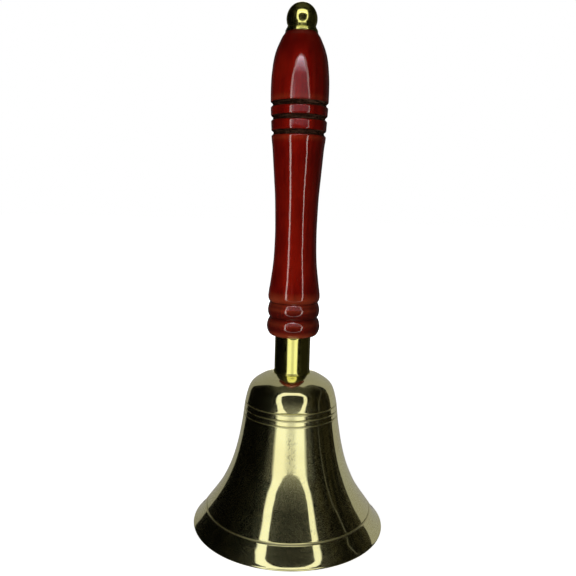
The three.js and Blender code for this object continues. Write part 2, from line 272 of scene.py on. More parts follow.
class Surface(Graph):
    """A Principled material in the making."""

    def __init__(self, name):
        self.material = bpy.data.materials.new(name)
        super().__init__(new_graph(self.material).tree)
        output = self.node("OutputMaterial")
        self.bsdf = self.node("BsdfPrincipled")
        self.put(output.inputs[0], self.bsdf.outputs[0])

    def coords(self):
        return self.node("TexCoord").outputs["Object"]

    def math(self, operation, a, b=0.0, clamp=False):
        inputs = {0: a, 1: b, 2: 0.0}
        return self.node("Math", inputs, operation=operation, use_clamp=clamp).outputs[0]

    def plus(self, a, b, clamp=False):
        return self.math("ADD", a, b, clamp)

    def times(self, a, b):
        return self.math("MULTIPLY", a, b)

    def combine(self, x, y, z):
        return self.node("CombineXYZ", {0: x, 1: y, 2: z}).outputs[0]

    def around(self, circle, z_scale, r_scale):
        """Seamless coordinate round the axis: place on a circle, and scaled height plus radius."""
        x, y, z = self.split(self.coords())
        square = self.plus(self.times(x, x), self.times(y, y))
        r = self.math("MAXIMUM", self.math("SQRT", square), 1e-5)
        place = [self.times(self.math("DIVIDE", v, r), circle) for v in (x, y)]
        return self.combine(*place, self.plus(self.times(z, z_scale), self.times(r, r_scale)))

    def scaled(self, z, xy=1):
        """Object coordinates scaled across and along the axis."""
        inputs = {"Vector": self.coords(), "Scale": (xy, xy, z)}
        return self.node("Mapping", inputs).outputs[0]

    def noise(self, vector, scale=1.0, detail=3, rough=0.5, distortion=0.0):
        inputs = {"Vector": vector, "Scale": scale, "Detail": detail,
                  "Roughness": rough, "Distortion": distortion}
        return self.node("TexNoise", inputs).outputs["Fac"]

    def remap(self, value, span, to=(0, 1)):
        """Value carried from span onto the range to, clamped."""
        inputs = {0: value, 1: span[0], 2: span[1], 3: to[0], 4: to[1]}
        return self.node("MapRange", inputs).outputs[0]

    def mix(self, factor, a, b):
        a, b = ((*c, 1) if isinstance(c, tuple) else c for c in (a, b))
        return self.node("Mix", {0: factor, 6: a, 7: b}, data_type="RGBA").outputs[2]

    def attr(self, name):
        node = self.node("Attribute", attribute_name=name, attribute_type="GEOMETRY")
        return node.outputs["Fac"]

    def bump(self, height, strength, distance, normal=None):
        """Bump of a height, distance in m, laid over another normal if given."""
        inputs = {"Strength": strength, "Distance": distance, "Height": height}
        if normal is not None:
            inputs["Normal"] = normal
        return self.node("Bump", inputs).outputs[0]

    def finish(self, **inputs):
        for key, value in inputs.items():
            self.put(self.bsdf.inputs[key.replace("_", " ")], value)
        return self.material


# ------------------------------------------------------------------ materials

TARNISH = (0.17, 0.16, 0.085)
BRASS_GRIME = (0.22, 0.18, 0.09)
RUST = (0.16, 0.075, 0.03)

STAIN = (0.31, 0.0060, 0.0028)
STAIN_GRAIN = (0.125, 0.0018, 0.0012)
STAIN_CLOUD = (0.085, 0.0012, 0.0010)
# painted shade: darker red laid on towards the top of the handle
PAINTED_TOP_SHADE = (0.080, 0.0012, 0.0010)
STAIN_BRIGHT = (0.44, 0.016, 0.004)
STAIN_FIBRE = (0.055, 0.0012, 0.0008)
STAIN_FLECK = (0.50, 0.16, 0.11)
STAIN_FOOT = (0.085, 0.0155, 0.0100)
STAIN_WORN = (0.56, 0.092, 0.032)
# painted shade: dark red laid into the creases and under the cap washer
CREASE_SHADE = (0.03, 0.004, 0.002)
BARE_DARK, BARE_LIGHT = (0.016, 0.0055, 0.0028), (0.105, 0.046, 0.027)
BARE_BAND_DARK, BARE_BAND_LIGHT = (0.0065, 0.0026, 0.0016), (0.19, 0.10, 0.062)
BARE_SHADE = (0.010, 0.0035, 0.0020)


def worn_patch(m, coords):
    """Flecks where the polish has gone, on the front of the waist."""
    x, y, z = m.split(coords)
    off_centre = m.math("ABSOLUTE", m.math("SUBTRACT", x, 0.0008))
    window = m.times(m.remap(off_centre, span=(0.0008, 0.0028), to=(1, 0)),
                     m.remap(y, span=(-0.012, -0.016)))
    tall = m.times(m.remap(z, span=(0.028, 0.040), to=(0.15, 1)),
                   m.remap(z, span=(0.044, 0.048), to=(1, 0)))
    fleck = m.noise(m.scaled(z=0.7), scale=1150, detail=3, rough=0.6, distortion=0.8)
    return m.times(m.times(window, tall), m.remap(fleck, span=(0.52, 0.64), to=(0, 0.85)))


def brass(name, base, warm, rough, haze, tarnish, lines, patch=False):
    """Polished brass.

    haze is the share of fine rough grains between the sharp ones, lines the turning marks.
    """
    m = Surface(name)
    coords = m.coords()
    tone = m.noise(coords, scale=55, detail=3, rough=0.55)
    color = m.mix(m.remap(tone, span=(0.35, 0.65)), base, warm)
    # fine speckle of tarnish in the polish
    speck = m.noise(m.scaled(z=0.55), scale=900, detail=4, rough=0.62)
    area = m.noise(coords, scale=38, detail=2, distortion=0.6)
    spot = m.times(m.remap(speck, span=(0.60, 0.70), to=(0, 0.6)),
                   m.remap(area, span=(0.50, 0.64)))
    if patch:
        spot = m.math("MAXIMUM", spot, worn_patch(m, coords))
    color = m.mix(m.times(spot, tarnish), color, TARNISH)
    grime = m.attr("groove")
    grime_tint, grime_rough = 0.30, 0.42
    color = m.mix(m.times(grime, grime_tint), color, BRASS_GRIME)
    # roughness: a sharp polish, grains too fine to see one by one, brushed streaks round
    # the axis and rubbed areas
    streak = m.noise(m.around(circle=1.2, z_scale=2600, r_scale=2600), detail=2)
    grain = m.noise(coords, scale=9500, detail=1)
    rub = m.noise(m.scaled(xy=60, z=26), rough=0.6)
    share = m.remap(rub, span=(0.38, 0.66), to=(haze * 0.55, haze * 1.5))
    rough_grain = m.remap(m.plus(grain, share), span=(0.62, 0.66))
    grain_rough, streak_rough, spot_rough = 0.30, 0.05, 0.20
    roughness = m.plus(rough, m.times(rough_grain, grain_rough))
    streaks = m.remap(streak, span=(0.50, 0.78))
    roughness = m.plus(roughness, m.times(streaks, streak_rough * lines))
    roughness = m.plus(roughness, m.times(spot, spot_rough))
    roughness = m.plus(roughness, m.times(grime, grime_rough), clamp=True)
    # bump: a slow waver in the surface, turning lines, hairline scratches
    scratch = m.noise(m.scaled(xy=900, z=160), detail=2, rough=0.6, distortion=0.4)
    waver = m.noise(coords, scale=90, detail=2)
    normal = m.bump(waver, strength=0.22, distance=0.00016)
    normal = m.bump(streak, strength=lines, distance=0.00001, normal=normal)
    normal = m.bump(scratch, strength=lines * 0.8, distance=0.000006, normal=normal)
    return m.finish(Base_Color=color, Metallic=1.0, Roughness=roughness, Normal=normal)


def steel(name, base, rough, dirt):
    """Dull steel with rust spots; dirt darkens the base colour in patches."""
    m = Surface(name)
    coords = m.coords()
    patches = m.noise(coords, scale=240, detail=4, rough=0.6)
    dirty = tuple(channel * dirt for channel in base)
    color = m.mix(m.remap(patches, span=(0.35, 0.7)), base, dirty)
    spots = m.noise(coords, scale=520, detail=4, rough=0.65)
    rust = m.remap(spots, span=(0.62, 0.75), to=(0, 0.5))
    color = m.mix(rust, color, RUST)
    fine = m.noise(coords, scale=2400, rough=0.6)
    fine_rough = 0.22
    roughness = m.plus(rough, m.times(fine, fine_rough), clamp=True)
    normal = m.bump(patches, strength=0.4, distance=0.00008)
    normal = m.bump(fine, strength=0.35, distance=0.00002, normal=normal)
    return m.finish(Base_Color=color, Metallic=m.math("SUBTRACT", 1.0, rust),
                    Roughness=roughness, Normal=normal)


def bare_wood(m, x, torn):
    """Colour of the torn wood in the V grooves, shaded on its -X side."""
    patchy = m.noise(m.scaled(xy=150, z=30), detail=2)
    band = m.noise(m.scaled(xy=260, z=2300), rough=0.6)
    bare = m.mix(m.remap(torn, span=(0.38, 0.60)), BARE_DARK, BARE_LIGHT)
    bare = m.mix(m.remap(band, span=(0.50, 0.60), to=(0, 0.8)), bare, BARE_BAND_DARK)
    bare = m.mix(m.remap(band, span=(0.34, 0.42), to=(0.7, 0)), bare, BARE_BAND_LIGHT)
    shade = m.times(m.remap(patchy, span=(0.38, 0.60), to=(0.35, 1)),
                    m.remap(x, span=(-0.008, 0.008), to=(0.92, 0.0)))
    return m.mix(shade, bare, BARE_SHADE)


def lacquered_wood(name):
    m = Surface(name)
    coords = m.coords()
    height = m.split(coords)[2]
    warp = m.noise(coords, scale=22, detail=2)
    x, y, z = m.split(coords)
    # grain: close across the handle, long along it, and bent by the warp
    across, along, bend = 520, 26, 2.6
    grain_x = m.plus(m.times(x, across), m.times(warp, bend))
    grain_coords = m.combine(grain_x, m.times(y, across), m.times(z, along))
    grain = m.noise(grain_coords, detail=4, rough=0.62)
    fibre = m.noise(m.scaled(xy=2600, z=90), rough=0.6)
    blotch = m.noise(coords, scale=42, rough=0.6)
    color = m.mix(m.remap(grain, span=(0.33, 0.68)), STAIN, STAIN_GRAIN)
    # the stain lies darker in cloudy patches; towards the cap the colour is darkened as painted
    # shade
    cloud = m.noise(m.scaled(z=0.55), scale=62, rough=0.55, distortion=0.4)
    color = m.mix(m.remap(cloud, span=(0.50, 0.68), to=(0, 0.55)), color, STAIN_CLOUD)
    color = m.mix(m.remap(height, span=(0.186, 0.202), to=(0, 0.85)), color, PAINTED_TOP_SHADE)
    color = m.mix(m.remap(blotch, span=(0.42, 0.68), to=(0, 0.6)), color, STAIN_BRIGHT)
    color = m.mix(m.remap(fibre, span=(0.58, 0.76), to=(0, 0.45)), color, STAIN_FIBRE)
    pale = m.noise(coords, scale=1500, detail=2)
    color = m.mix(m.remap(pale, span=(0.735, 0.78), to=(0, 0.8)), color, STAIN_FLECK)
    worn = m.attr("worn")
    # the beads at the foot have gathered a browner stain
    foot = m.times(m.remap(height, span=(0.0965, 0.0978), to=(1, 0)),
                   m.remap(blotch, span=(0.35, 0.62), to=(0.85, 0.55)))
    color = m.mix(foot, color, STAIN_FOOT)
    # lacquer wears thin and orange on the crests
    worn = m.times(worn, m.remap(blotch, span=(0.3, 0.6), to=(0.5, 1.0)))
    color = m.mix(worn, color, STAIN_WORN)
    # bare wood in the V grooves, with a ragged edge
    groove = m.attr("groove")
    torn = m.noise(m.scaled(xy=1500, z=900), detail=4, rough=0.7)
    raggedness = 0.95
    edge = m.plus(groove, m.times(m.math("SUBTRACT", torn, 0.5), raggedness))
    mask = m.remap(edge, span=(0.46, 0.66))
    color = m.mix(mask, color, bare_wood(m, x, torn))
    # painted shade darkens the creases between the beads and the wood under the cap washer
    crease_shade_share = 0.8
    color = m.mix(m.times(m.attr("dark"), crease_shade_share), color, CREASE_SHADE)
    gloss = m.math("SUBTRACT", 1.0, mask)
    lacquer_rough, bare_extra_rough = 0.42, 0.4
    roughness = m.plus(lacquer_rough, m.times(mask, bare_extra_rough))
    coat_rough, fibre_coat_rough = 0.045, 0.10
    coat_fibre = m.times(m.remap(fibre, span=(0.5, 0.7)), fibre_coat_rough)
    # uneven lacquer over fibrous wood
    ripple = m.noise(m.scaled(xy=420, z=120), detail=2)
    swell = m.noise(coords, scale=120, detail=2)
    coat_normal = m.bump(swell, strength=0.25, distance=0.00025)
    coat_normal = m.bump(ripple, strength=0.12, distance=0.00012, normal=coat_normal)
    normal = m.bump(fibre, strength=0.15, distance=0.00003)
    normal = m.bump(torn, strength=0.35, distance=0.0003, normal=normal)
    return m.finish(
        Base_Color=color, Roughness=roughness, Normal=normal, IOR=1.9,
        Coat_Weight=m.times(gloss, 1.0), Coat_Roughness=m.plus(coat_rough, coat_fibre),
        Coat_IOR=1.8, Coat_Normal=coat_normal,
        Specular_IOR_Level=m.times(gloss, 0.9), Specular_Tint=(1.0, 0.035, 0.012, 1.0))


MAT = {
    "cast_brass": brass("cast_brass", base=(0.79, 0.77, 0.43), warm=(0.75, 0.71, 0.375),
                        rough=0.055, haze=0.028, tarnish=0.7, lines=0.5, patch=True),
    "cast_inside": brass("cast_brass_inside", base=(0.62, 0.53, 0.27), warm=(0.50, 0.41, 0.19),
                         rough=0.34, haze=0.12, tarnish=0.8, lines=0.6),
    "turned_brass": brass("turned_brass", base=(0.80, 0.785, 0.26), warm=(0.77, 0.74, 0.225),
                          rough=0.045, haze=0.03, tarnish=0.3, lines=0.25),
    "zinc_steel": steel("zinc_steel", base=(0.58, 0.58, 0.56), rough=0.26, dirt=0.72),
    "dark_iron": steel("dark_iron", base=(0.27, 0.25, 0.23), rough=0.30, dirt=0.55),
    "red_wood": lacquered_wood("red_wood"),
}

# ------------------------------------------------------------------ bell cup

# (r, z) up the outside, from the mouth to the crown
CUP_OUTSIDE = [
    (MOUTH_R, 0.58), (40.97, 0.80), (40.82, 0.99), (40.45, 1.30), (39.4, 2.45), (38.2, 4.0),
    (36.85, 6.0), (35.35, 8.1), (33.55, 10.6), (31.8, 13.1), (29.8, 16.2), (28.2, 19.2),
    (26.6, 22.7), (25.2, 26.2), (23.9, 30.2), (22.85, 34.2), (21.97, 38.2), (21.25, 42.2),
    (20.6, 46.2), (20.1265, 49.8939), (19.9035, 51.9820), (19.7219, 53.4710),
    (19.5699, 54.4795), (19.3524, 55.6189), (19.0729, 56.8885), (18.7722, 58.0914),
    (18.5120, 58.9946), (18.2911, 59.6588), (18.0616, 60.2562), (17.8436, 60.7501),
    (17.6202, 61.1974), (17.4421, 61.5102), (17.2478, 61.8132), (17.0498, 62.0896),
    (16.8739, 62.3073), (16.6865, 62.5153), (16.4307, 62.7686), (16.0586, 63.1025),
    (15.6387, 63.4420), (15.0119, 63.9062), (14.2503, 64.4221), (13.4363, 64.9309),
    (12.6391, 65.3901), (12.0182, 65.7131), (11.5279, 65.9394), (10.9901, 66.1564),
    (10.3477, 66.3791), (9.2963, 66.7023), (7.95, SEAT_Z - 0.02),
]
# (r, z) up the inside
CUP_INSIDE = [
    (38.16, 0.0), (36.9, 1.5), (35.3, 3.6), (33.6, 5.9), (31.6, 8.7), (29.7, 11.5),
    (27.75, 14.7), (26.2, 17.8), (24.7, 21.4), (23.25, 25.2), (21.9, 29.4), (20.85, 33.6),
    (19.92, 37.8), (19.2, 41.9), (18.53, 45.9), (18.05, 49.6), (17.5, 53.0), (17.1, 55.6),
    (16.65, 57.7), (15.95, 59.5), (14.9, 61.0), (13.4, 62.15), (11.6, 63.05), (9.6, 63.75),
    (7.1, WASHER_Z1),
]
CUP_LIP = [(40.34, 0.0), (40.52, 0.03), (40.69, 0.10), (40.83, 0.20), (40.93, 0.34)]
CUP_CROWN = [(6.6, SEAT_Z), (5.0, SEAT_Z), (3.1, SEAT_Z), (2.85, SEAT_Z - 0.15),
             (HOLE_R, SEAT_Z - 0.5)]
CUP_HOLE = [(HOLE_R, 65.6), (HOLE_R, 64.6), (2.85, WASHER_Z1 + 0.1), (3.1, WASHER_Z1)]
CUP_CEILING = [(4.5, WASHER_Z1), (6.0, WASHER_Z1)]
# scribed lines round the outside: (z, width, depth)
SCRIBES = [(7.9, 0.80, 0.34), (49.4, 0.75, 0.30), (51.8, 0.75, 0.30), (54.3, 0.75, 0.30)]
CUP_SEGS = 224


def scribed(profile):
    """Cuts the scribed lines, each with a faint raised burr on both sides."""
    burr_reach, burr_height = 1.6, 0.035
    out = []
    for r, z in profile:
        cut = 0.0
        for centre, width, depth in SCRIBES:
            off = abs(z - centre) / (width / 2)
            if off < 1:
                cut = depth * (1 - off) ** 0.8
            elif off < burr_reach:
                cut = -burr_height * math.sin((off - 1) / 0.6 * math.pi)
        out.append((r - cut, z))
    return out


def scribe_mask(z):
    return max(max(0.0, 1 - abs(z - centre) / (width / 2)) ** 0.7
               for centre, width, _ in SCRIBES)


cup_outer = scribed(catmull(CUP_OUTSIDE, step=0.16))
cup_inner = catmull(CUP_INSIDE, step=0.9)
cup_loop = CUP_LIP + cup_outer + CUP_CROWN + CUP_HOLE + CUP_CEILING + cup_inner[::-1]
inside_start = len(CUP_LIP) + len(cup_outer) + len(CUP_CROWN)


def cast_skin(r, z, angle, ring):
    """Uneven cast skin inside, fading out at the mouth."""
    mouth = 0.6
    if ring > inside_start + len(CUP_HOLE) and z > mouth:
        fade = min(1.0, (z - mouth) / 2)
        lumps = fbm(r * math.cos(angle) * 0.35, r * math.sin(angle) * 0.35, z * 0.35, 4)
        return r - abs(fade * (0.10 * lumps + 0.02 * math.sin(z * 4.2))), z
    return r, z


cup = make_piece("bell_cup_body", revolve(cup_loop, CUP_SEGS, cast_skin), "bell_cup",
                 "cast_brass", smooth_angle=40)
cup.data.materials.append(MAT["cast_inside"])
cup_groove = np.zeros(len(cup_loop))
for i, (_, z) in enumerate(cup_outer, len(CUP_LIP)):
    cup_groove[i] = scribe_mask(z)
set_attr(cup, "groove", np.repeat(cup_groove, CUP_SEGS))
face_ring = np.repeat(np.arange(len(cup_loop)), CUP_SEGS)
is_inside = (face_ring >= inside_start) & (face_ring < len(cup_loop) - 1)
cup.data.polygons.foreach_set("material_index", is_inside.astype(np.int32))

# ------------------------------------------------------------------ ferrule, washers, finial


def plain(ob):
    """Gives a piece without scribed lines an empty groove mask."""
    set_attr(ob, "groove", np.zeros(len(ob.data.vertices)))
    return ob


def turned_piece(name, loop, segs, node, finish):
    return plain(make_piece(name, revolve(loop, segs), node, finish, smooth_angle=35))


def washer_loop(hole_r, outer_r, z0, z1, edge=0.14):
    """Washer section with broken edges."""
    return [
        (hole_r, z0 + edge), (hole_r + edge, z0), (outer_r - edge * 2, z0),
        (outer_r - edge * 0.5, z0 + edge * 0.3), (outer_r, z0 + edge * 1.2),
        (outer_r, z1 - edge * 1.2), (outer_r - edge * 0.5, z1 - edge * 0.3),
        (outer_r - edge * 2, z1), (hole_r + edge, z1), (hole_r, z1 - edge),
    ]


FERRULE_R, FERRULE_BORE = 7.5, 6.4
FLOOR_TOP = 1.9         # top of the ferrule's inner floor, above its foot
# bead at the foot: (r, height above the foot)
FERRULE_FOOT = [(7.6, 0), (7.74, 0.02), (7.83, 0.1), (7.85, 0.2), (7.83, 0.34), (7.75, 0.44),
                (7.62, 0.5), (7.54, 0.58), (FERRULE_R, 0.75)]
ferrule_loop = (
    [(r, FERRULE_Z0 + up) for r, up in FERRULE_FOOT]
    + [(FERRULE_R, z) for z in np.arange(FERRULE_Z0 + 1.6, SHOULDER_Z - 0.5, 1.2)]
    + [(FERRULE_R, SHOULDER_Z - 0.32), (7.44, SHOULDER_Z - 0.12), (7.3, SHOULDER_Z),
       (6.5, SHOULDER_Z), (FERRULE_BORE, SHOULDER_Z - 0.1)]
    + [(FERRULE_BORE, 80.0), (FERRULE_BORE, 75.0), (FERRULE_BORE, FERRULE_Z0 + 2.1),
       (6.2, FERRULE_Z0 + FLOOR_TOP), (3.0, FERRULE_Z0 + FLOOR_TOP),
       (HOLE_R, FERRULE_Z0 + 1.7), (HOLE_R, FERRULE_Z0 + 0.2), (3.0, FERRULE_Z0)])
ferrule = turned_piece("ferrule_tube", ferrule_loop, 144, "ferrule", "turned_brass")

turned_piece("plain_washer", washer_loop(HOLE_R, 6.5, WASHER_Z0, WASHER_Z1), 96,
             "inner_washer", "zinc_steel")
finial_washer = turned_piece("cap_washer", washer_loop(HOLE_R, 6.55, WOOD_TOP, CAP_Z), 96,
                             "finial_washer", "turned_brass")

DOME_Z, DOME_R = 211.0, 6.2     # widest ring of the finial's dome
FINIAL_BORE = 2.55
# (r, z) up the outside from the base to the widest ring; points 3 and 4 are corners
FINIAL_SIDE = [
    (6.32, CAP_Z + 0.1), (6.36, CAP_Z + 0.25), (6.3, CAP_Z + 0.45), (6.05, 207.25),
    (5.62, 208.38), (5.8, 208.81), (5.95, 209.26), (6.08, 209.79), (6.16, 210.3),
    (DOME_R, DOME_Z),
]
dome = [(DOME_R * math.cos(a), DOME_Z + (FINIAL_TOP - DOME_Z) * math.sin(a))
        for a in np.linspace(0, math.pi / 2, 30)[1:-1]]
finial_profile = (
    [(0, 214.3), (2.0, 213.7), (FINIAL_BORE, 213.4), (FINIAL_BORE, 210.0),
     (FINIAL_BORE, CAP_Z + 0.2), (2.75, CAP_Z), (6.2, CAP_Z)]
    + catmull(FINIAL_SIDE, step=0.12, sharp=(3, 4)) + dome + [(0, FINIAL_TOP)])
finial = plain(make_piece("finial_dome", revolve_open(finial_profile, 128), "finial",
                          "turned_brass", smooth_angle=38))

# ------------------------------------------------------------------ handle

CREASE_LOW, CREASE_HIGH = 91.0, 97.4    # sharp creases between the beads
# (r, z) from the shoulder to the top
GRIP = [
    (8.3, SHOULDER_Z), (9.5, 83.5), (10.3, 84.3), (10.85, 85.5), (11.15, 87.0), (11.05, 88.3),
    (10.7, 89.6), (10.2, 90.6), (9.9, CREASE_LOW), (10.2, 91.45), (10.6, 92.3), (10.85, 93.7),
    (10.8, 94.9), (10.5, 96.1), (10.2, 97.0), (9.95, CREASE_HIGH), (10.3, 97.85),
    (10.72, 98.8), (10.85, 100.1), (10.6, 102.3), (10.2, 104.8), (9.75, 108.2), (9.2, 112.6),
    (8.85, 117.6), (8.65, 125.0), (8.72, 131.5), (9.05, 141.3), (9.55, 147.8), (10.05, 154.3),
    (10.55, 160.7), (11.0, 164.4), (11.2, 168.4), (11.5, 174.0), (11.75, 179.7),
    (11.78, 184.0), (11.66, 188.0), (11.35, 191.5), (10.85, 195.2), (10.2, 197.9),
    (9.35, 200.3), (8.5, 202.2), (7.7, 203.9), (6.95, 205.0), (6.6, WOOD_TOP - 0.05),
]
TENON_R = 6.3
TENON = [(HOLE_R, TENON_Z + 0.2), (3.0, TENON_Z), (5.9, TENON_Z), (TENON_R, TENON_Z + 0.6),
         (TENON_R, 76.0), (TENON_R, SHOULDER_Z - 0.1), (6.45, SHOULDER_Z)]
BORE = [(6.4, WOOD_TOP), (3.0, WOOD_TOP), (HOLE_R, WOOD_TOP - 0.2), (HOLE_R, 160.0),
        (HOLE_R, 110.0)]
VEE_ZS = [177.65, 172.3, 166.45]
VEE_WIDTH, VEE_DEPTH = 2.25, 0.85
# masks over the height: (centre z, half width, power, strength)
WORN = [(99.0, 3.2, 0.8, 0.9), (84.3, 1.7, 1, 0.9), (88.9, 1.4, 1, 0.35),
        (94.9, 1.3, 1, 0.4), (179.7, 1.6, 1, 0.35), (164.3, 1.5, 1, 0.4)]
# where painted shade goes: the creases between the beads and the top edge under the cap washer
CREASE_SHADE_BANDS = [(CREASE_LOW, 0.55, 1, 1), (CREASE_HIGH, 0.5, 1, 1), (WOOD_TOP, 0.8, 1, 1)]
WOOD_SEGS = 160

creases = [i for i, (_, z) in enumerate(GRIP) if z in (CREASE_LOW, CREASE_HIGH)]
grip = catmull(GRIP, step=0.32, sharp=creases)
wood_loop = TENON + grip + BORE
grip_rings = range(len(TENON), len(TENON) + len(grip))


def vee_offset(z, angle):
    """Distance to the nearest V groove in half widths; the hand-cut edges wander."""
    x, y = math.cos(angle), math.sin(angle)
    offsets = []
    for k, centre in enumerate(VEE_ZS):
        wandered = centre + 0.10 * fbm(x * 1.1 + 7 * k, y * 1.1, 3.1)
        width = VEE_WIDTH * (1 + 0.14 * fbm(x * 2.6 + 3 * k, y * 2.6, 9.7))
        offsets.append(abs(z - wandered) / (width / 2))
    return min(offsets)


def vee_mask(z, angle):
    return max(0.0, min(1.0, (1.10 - vee_offset(z, angle)) / 0.36))


def cut_wood(r, z, angle, ring):
    """V grooves with torn walls, and the slight unevenness of hand sanding."""
    if ring not in grip_rings:
        return r, z
    x, y = math.cos(angle), math.sin(angle)
    depth = 0.0
    offset = vee_offset(z, angle)
    if offset < 1:
        depth = VEE_DEPTH * min(1.0, (1 - offset) * 1.55)
        depth += min(depth, 0.25) * 1.1 * fbm(x * r * 2.3, y * r * 2.3, z * 3.5, 4)
        depth += 0.10 * max(0.0, noise.noise(Vector((x * r * 5.5, y * r * 5.5, z * 1.3))))
    r = r - depth
    r += (0.035 * fbm(x * 1.3, y * 1.3, z * 0.09, 2)
          + 0.012 * noise.noise(Vector((x * 3, y * 3, z * 0.5))))
    return r, z


def height_mask(humps):
    """Strongest hump at each ring of the grip, one value per vertex of the handle."""
    values = np.zeros(len(wood_loop))
    for ring in grip_rings:
        z = wood_loop[ring][1]
        values[ring] = max(max(0.0, 1 - abs(z - centre) / half_width) ** power * strength
                           for centre, half_width, power, strength in humps)
    return np.repeat(values, WOOD_SEGS)


handle = make_piece("handle_wood", revolve(wood_loop, WOOD_SEGS, cut_wood), "handle",
                    "red_wood", smooth_angle=60)
set_attr(handle, "groove", [
    vee_mask(z, TAU * k / WOOD_SEGS) if ring in grip_rings else 0.0
    for ring, (_, z) in enumerate(wood_loop) for k in range(WOOD_SEGS)])
set_attr(handle, "worn", height_mask(WORN))
set_attr(handle, "dark", height_mask(CREASE_SHADE_BANDS))

# ------------------------------------------------------------------ fixings under the crown


def hex_nut(z0, z1, flats, bore_r, segs=144):
    """Hexagon nut chamfered at 30 degrees, one flat facing +X; flats is the width across."""
    edge = 0.3
    chamfer_r = flats / 2 * 0.97
    columns = []
    for k in range(segs):
        angle = TAU * k / segs
        from_flat = (angle + math.pi / 6) % (math.pi / 3) - math.pi / 6
        side = flats / 2 / math.cos(from_flat)
        drop = (side - chamfer_r) * math.tan(math.radians(30))
        section = [
            (bore_r, z0 + edge), (bore_r + edge, z0), (chamfer_r, z0),
            (side - 0.04, z0 + drop), (side, z0 + drop + 0.08),
            (side, z1 - drop - 0.08), (side - 0.04, z1 - drop),
            (chamfer_r, z1), (bore_r + edge, z1), (bore_r, z1 - edge)]
        columns.append([polar(r, z, angle) for r, z in section])
    rings = len(columns[0])
    verts = [column[ring] for ring in range(rings) for column in columns]
    return outward(verts, bridge(rings, segs, closed=True))


def spring_ring(z0, z1, inner_r, outer_r, gap, segs=110):
    """Split ring with its slanted gap at +X."""
    section = [(inner_r, z0 + 0.12), (inner_r + 0.12, z0), (outer_r - 0.16, z0),
               (outer_r, z0 + 0.16), (outer_r, z1 - 0.16), (outer_r - 0.16, z1),
               (inner_r + 0.12, z1), (inner_r, z1 - 0.12)]
    slant = 0.55
    corners = len(section)
    verts = []
    for k in range(segs + 1):
        for r, z in section:
            skew = (z - (z0 + z1) / 2) * slant
            start = (gap / 2 + skew) / r
            end = TAU - (gap / 2 - skew) / r
            verts.append(polar(r, z, start + (end - start) * (k / segs)))
    faces = bridge(segs + 1, corners)
    faces.append(tuple(reversed(range(corners))))
    faces.append(tuple(segs * corners + i for i in range(corners)))
    return outward(verts, faces)


nut = make_piece("hex_nut", hex_nut(NUT_Z0, NUT_Z1, flats=8.0, bore_r=2.55), "crown_nut",
                 "zinc_steel", smooth_angle=25)
spring = make_piece("spring_washer",
                    spring_ring(SPRING_Z0, SPRING_Z1, inner_r=HOLE_R, outer_r=4.6, gap=1.0),
                    "lock_washer", "zinc_steel", smooth_angle=30)

# ------------------------------------------------------------------ eye bolt

WIRE_END = 0.12         # how much thinner the cut end of a wire is
EYE_R, EYE_WIRE_R = 3.4, 1.2
EYE_Z = LINK_PIVOT_Z + EYE_R
EYE_TOP = EYE_Z + EYE_R
THREAD_PITCH, THREAD_DEPTH = 0.8, 0.36
THREADS = [(NUT_Z0 - 0.4, SEAT_Z + 4.0), (196.0, ROD_Z1 + 1)]     # (from z, to z)


def eye_wire(lead, lead_radii, centre_z, eye_r, wire_r, steps, up=1):
    """Wire from a lead-in round an eye in the XZ plane; up is the side the lead joins."""
    path = list(lead)
    for i in range(6, steps + 1):
        angle = math.radians(352 * i / steps)
        path.append((eye_r * math.sin(angle), 0.0, centre_z + up * eye_r * math.cos(angle)))
    radii = lead_radii + [wire_r] * (len(path) - len(lead))
    radii[-1] = wire_r - WIRE_END
    return sweep(path, radii)


def thread_cut(r, z, angle, ring):
    """Rolled V thread, fading in and out at the ends of each threaded span."""
    if r < ROD_R - 0.02:
        return r, z
    turn = (z / THREAD_PITCH - angle / TAU) % 1.0
    vee = min(1.0, max(0.0, 1.15 - abs(turn - 0.5) * 2.6))
    fades = [min(1.0, (z - low) / 0.8, (high - z) / 0.4)
             for low, high in THREADS if low < z < high]
    return r - max(fades, default=0.0) * THREAD_DEPTH * vee, z


def threaded_rod(z_low, z_high):
    """Rod with close rings near the threads and wide ones between them."""
    stations = [z_low]
    while stations[-1] < z_high - 1e-6:
        z = stations[-1]
        near_thread = any(low - 0.6 < z < high + 0.6 for low, high in THREADS)
        stations.append(min(z_high, z + (THREAD_PITCH / 6 if near_thread else 4.0)))
    profile = ([(0.0, z_low), (1.2, z_low)] + [(ROD_R, z) for z in stations[1:-1]]
               + [(ROD_R - 0.45, z_high), (0.0, z_high)])
    return revolve_open(profile, 48, thread_cut)


# the lower end is drawn down to wire and bent round into a closed eye
bolt_eye = eye_wire(
    lead=[(0, 0, EYE_TOP + 1.6), (0, 0, EYE_TOP + 1.0), (0.0, 0.0, EYE_TOP + 0.6),
          (0.12, 0.0, EYE_TOP + 0.25), (0.35, 0.0, EYE_TOP + 0.02)],
    lead_radii=[1.9, 1.75, 1.55, 1.42, 1.32],
    centre_z=EYE_Z, eye_r=EYE_R, wire_r=EYE_WIRE_R, steps=84)
rod = make_piece("eye_bolt", joined(threaded_rod(EYE_TOP + 0.35, ROD_Z1), bolt_eye),
                 "tie_rod", "zinc_steel", smooth_angle=40)

# ------------------------------------------------------------------ link

LINK_WIRE_R, LINK_R = 1.0, 2.7
LINK_GAP, LINK_STEPS = 0.14, 150
LINK_TOP = LINK_Z1 - LINK_WIRE_R - LINK_R       # centres of the two end bends
LINK_BOTTOM = CLAPPER_PIVOT_Z + LINK_R


